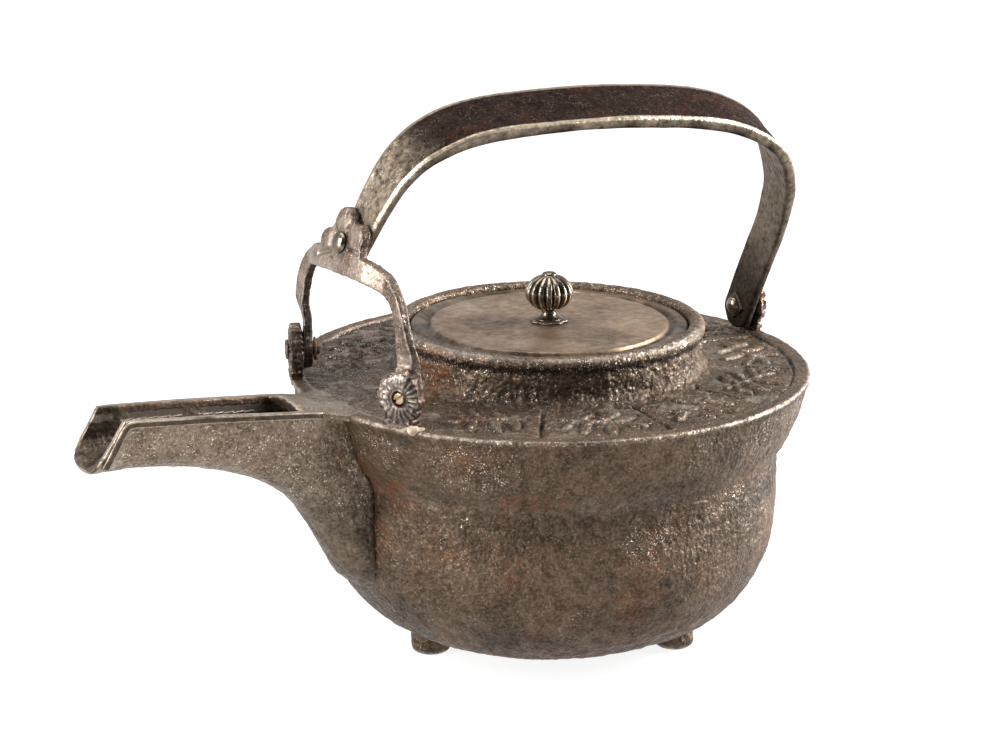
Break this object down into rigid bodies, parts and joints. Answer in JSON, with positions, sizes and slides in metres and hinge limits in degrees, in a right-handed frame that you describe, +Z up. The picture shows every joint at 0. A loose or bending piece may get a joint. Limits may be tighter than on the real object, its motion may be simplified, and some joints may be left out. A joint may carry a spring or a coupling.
{
  "type": "cast iron teapot",
  "caption": "Squat cast iron sake kettle with a flared rim, an open beak spout, a dropped-in lid with a ribbed knob, and a loose forged strap handle on a trefoil yoke.",
  "frame": {"origin": "on the floor under the feet, at the middle of the overall length and width", "axes": "+Z up, the spout points along -X, and +Y is to the left of someone pouring"},
  "size_m": [0.251, 0.1698, 0.1852],
  "materials": {
    "cast_iron": "pebbled, brown-black, with rust streaks",
    "lid_iron": "smoother, tan-brown, smudged",
    "forged_iron": "worn grey-brown, pitted",
    "strap_patina": "dark mottled patina worn bright at the edges",
    "knob_bronze": "dark, rubbed and half polished",
    "brass": "dull"
  },
  "bodies": {
    "kettle": {"kettle_body": "cast_iron", "spout": "cast_iron", "foot_front": "cast_iron", "foot_rear_left": "cast_iron", "foot_rear_right": "cast_iron", "lug_front_left": "cast_iron", "lug_front_right": "cast_iron", "lug_rear": "cast_iron", "yoke": "forged_iron", "yoke_screw": "brass", "yoke_pin": "forged_iron", "yoke_pin_washer": "forged_iron", "front_rivet": "forged_iron", "rear_rivet": "forged_iron"},
    "handle": {"strap_handle": "strap_patina", "front_rivet_washer": "forged_iron", "rear_rivet_washer": "forged_iron"},
    "lid": {"lid": "lid_iron", "knob": "knob_bronze", "knob_flower_washer": "forged_iron", "knob_inner_washer": "forged_iron"}
  },
  "joints": [
    {"name": "handle_swing", "type": "hinge", "parent": "kettle", "child": "handle", "pos_m": [0.1169, 0, 0.0994], "axis": [-0.9659, 0, 0.2588], "range_deg": [0, 48]},
    {"name": "lid_lift", "type": "slide", "parent": "kettle", "child": "lid", "axis": [0, 0, 1], "range_m": [0, 0.04]}
  ]
}
